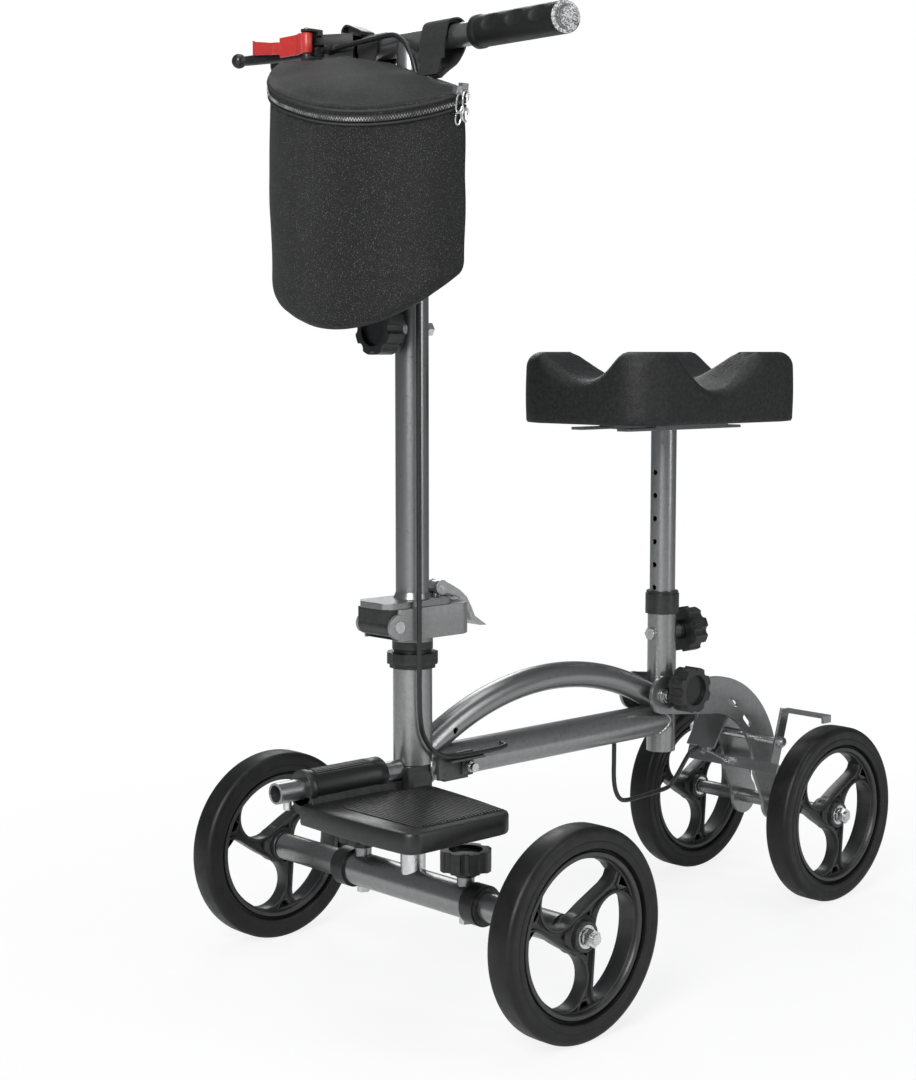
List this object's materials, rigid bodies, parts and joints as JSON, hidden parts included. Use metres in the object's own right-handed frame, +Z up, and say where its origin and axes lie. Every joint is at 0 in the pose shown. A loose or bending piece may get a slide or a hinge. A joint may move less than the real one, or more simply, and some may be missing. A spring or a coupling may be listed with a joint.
{
  "type": "folding knee scooter",
  "caption": "Steerable folding knee scooter with a padded knee rest on a telescoping post, hand brake, fold-up foot rest, storage bag and open-spoke wheels.",
  "frame": {"origin": "on the floor, under the middle of the whole scooter's bounding box", "axes": "+Z up, -Y the way it drives, +X the rider's left"},
  "size_m": [0.496, 0.816, 0.941],
  "materials": {
    "gunmetal": "satin",
    "dark_bracket": "satin",
    "black_plastic": "satin",
    "fastener": "satin",
    "bright_zinc": "satin",
    "cast_alloy": "satin",
    "lever_alloy": "satin",
    "tyre": "satin",
    "hub_plastic": "satin",
    "grip_rubber": "matte",
    "black_metal": "satin",
    "red_plastic": "gloss",
    "bag_fabric": "matte",
    "bag_webbing": "matte",
    "pad_vinyl": "satin",
    "cable_jacket": "satin"
  },
  "bodies": {
    "frame": {"head_tube": "gunmetal", "headset_cups": "black_plastic", "main_tube": "gunmetal", "arch_tube": "gunmetal", "seat_tube": "gunmetal", "head_bracket": "dark_bracket", "seat_collar": "black_plastic", "pivot_bolt": "fastener", "frame_fasteners": "fastener", "brake_cable_rear": "cable_jacket"},
    "steering": {"steerer": "bright_zinc", "stem_block": "dark_bracket", "front_axle_tube": "gunmetal", "axle_collars": "black_plastic", "steering_fasteners": "fastener", "lower_hinge": "cast_alloy", "pedal_tube": "gunmetal"},
    "foot_rest": {"foot_rest": "black_plastic"},
    "axle_knob_left": {"axle_knob_left": "black_plastic"},
    "axle_knob_right": {"axle_knob_right": "black_plastic"},
    "stub_left": {"front_stub_left": "gunmetal", "front_bolt_left": "fastener"},
    "stub_right": {"front_stub_right": "gunmetal", "front_bolt_right": "fastener"},
    "wheel_front_left": {"front_tyre_left": "tyre", "front_hub_left": "hub_plastic"},
    "wheel_front_right": {"front_tyre_right": "tyre", "front_hub_right": "hub_plastic"},
    "wheel_rear_left": {"rear_tyre_left": "tyre", "rear_hub_left": "hub_plastic"},
    "wheel_rear_right": {"rear_tyre_right": "tyre", "rear_hub_right": "hub_plastic"},
    "column": {"column_tube": "gunmetal", "hinge_barrel": "black_plastic", "column_collar": "black_plastic", "column_fasteners": "fastener"},
    "cam_lever": {"cam_lever": "lever_alloy"},
    "column_knob": {"column_knob": "black_plastic"},
    "handlebar": {"handlebar_post": "gunmetal", "handlebar": "gunmetal", "grip_left": "grip_rubber", "grip_right": "grip_rubber", "brake_perch": "black_plastic", "bag": "bag_fabric", "bag_straps": "bag_webbing", "brake_cable_front": "cable_jacket"},
    "brake_lever": {"brake_lever": "black_metal"},
    "parking_latch": {"parking_latch": "red_plastic"},
    "seat": {"seat_post": "gunmetal", "seat_plate": "gunmetal", "knee_pad": "pad_vinyl"},
    "seat_knob": {"seat_knob": "black_plastic"},
    "rear_fork": {"fork_plate_left": "gunmetal", "fork_plate_right": "gunmetal", "fork_cross_plates": "gunmetal", "rear_axle_tube": "gunmetal", "rear_axle_rod": "fastener"},
    "rear_lock_knob": {"rear_lock_knob": "black_plastic"},
    "brake_arms": {"brake_arms": "gunmetal", "brake_rod": "fastener"}
  },
  "joints": [
    {"name": "steering", "type": "hinge", "parent": "frame", "child": "steering", "pos_m": [0, -0.238, 0.28], "axis": [0, 0, 1], "range_deg": [-32, 32], "deforming": ["brake_cable_front"]},
    {"name": "column_fold", "type": "hinge", "parent": "steering", "child": "column", "pos_m": [0, -0.278, 0.363], "axis": [1, 0, 0], "range_deg": [0, 90], "deforming": ["brake_cable_front"]},
    {"name": "cam_latch", "type": "hinge", "parent": "column", "child": "cam_lever", "pos_m": [0, -0.207, 0.394], "axis": [1, 0, 0], "range_deg": [0, 110]},
    {"name": "column_knob_turn", "type": "hinge", "parent": "column", "child": "column_knob", "pos_m": [0, -0.268, 0.646], "axis": [0, 1, 0], "range_deg": [0, 360]},
    {"name": "handlebar_height", "type": "slide", "parent": "column", "child": "handlebar", "axis": [0, 0, 1], "range_m": [0, 0.1], "deforming": ["brake_cable_front"]},
    {"name": "brake_lever_pull", "type": "hinge", "parent": "handlebar", "child": "brake_lever", "pos_m": [-0.105, -0.268, 0.914], "axis": [0, 0, -1], "range_deg": [0, 14], "stiffness_Nm_per_rad": 1.5},
    {"name": "parking_latch_turn", "type": "hinge", "parent": "handlebar", "child": "parking_latch", "pos_m": [-0.1, -0.284, 0.922], "axis": [0, 0, 1], "range_deg": [0, 20]},
    {"name": "seat_height", "type": "slide", "parent": "frame", "child": "seat", "axis": [0, 0, 1], "range_m": [-0.127, 0]},
    {"name": "seat_knob_turn", "type": "hinge", "parent": "frame", "child": "seat_knob", "pos_m": [0, 0.162, 0.315], "axis": [0, 1, 0], "range_deg": [0, 360]},
    {"name": "rear_fold", "type": "hinge", "parent": "frame", "child": "rear_fork", "pos_m": [0, 0.11, 0.25], "axis": [-1, 0, 0], "range_deg": [0, 88], "deforming": ["brake_cable_rear"]},
    {"name": "rear_lock_turn", "type": "hinge", "parent": "rear_fork", "child": "rear_lock_knob", "pos_m": [0.04, 0.132, 0.256], "axis": [1, 0, 0], "range_deg": [0, 360]},
    {"name": "brake_arms_swing", "type": "hinge", "parent": "rear_fork", "child": "brake_arms", "pos_m": [0, 0.267, 0.182], "axis": [-1, 0, 0], "range_deg": [0, 28], "stiffness_Nm_per_rad": 1, "deforming": ["brake_cable_rear"]},
    {"name": "foot_rest_fold", "type": "hinge", "parent": "steering", "child": "foot_rest", "pos_m": [0, -0.328, 0.218], "axis": [0, 1, 0], "range_deg": [-60, 0]},
    {"name": "stub_left_slide", "type": "slide", "parent": "steering", "child": "stub_left", "axis": [1, 0, 0], "range_m": [-0.03, 0]},
    {"name": "axle_knob_left_turn", "type": "hinge", "parent": "steering", "child": "axle_knob_left", "pos_m": [0.076, -0.238, 0.13], "axis": [0, 0, 1], "range_deg": [0, 360]},
    {"name": "wheel_front_left_spin", "type": "hinge", "parent": "stub_left", "child": "wheel_front_left", "pos_m": [0.221, -0.238, 0.1], "axis": [1, 0, 0], "continuous": true},
    {"name": "wheel_rear_left_spin", "type": "hinge", "parent": "rear_fork", "child": "wheel_rear_left", "pos_m": [0.1015, 0.308, 0.1], "axis": [1, 0, 0], "continuous": true},
    {"name": "stub_right_slide", "type": "slide", "parent": "steering", "child": "stub_right", "axis": [-1, 0, 0], "range_m": [-0.03, 0]},
    {"name": "axle_knob_right_turn", "type": "hinge", "parent": "steering", "child": "axle_knob_right", "pos_m": [-0.076, -0.238, 0.13], "axis": [0, 0, 1], "range_deg": [0, 360]},
    {"name": "wheel_front_right_spin", "type": "hinge", "parent": "stub_right", "child": "wheel_front_right", "pos_m": [-0.221, -0.238, 0.1], "axis": [1, 0, 0], "continuous": true},
    {"name": "wheel_rear_right_spin", "type": "hinge", "parent": "rear_fork", "child": "wheel_rear_right", "pos_m": [-0.1015, 0.308, 0.1], "axis": [1, 0, 0], "continuous": true}
  ],
  "couplings": [
    {"joint": "brake_arms_swing", "follows": "brake_lever_pull", "ratio": 2}
  ]
}
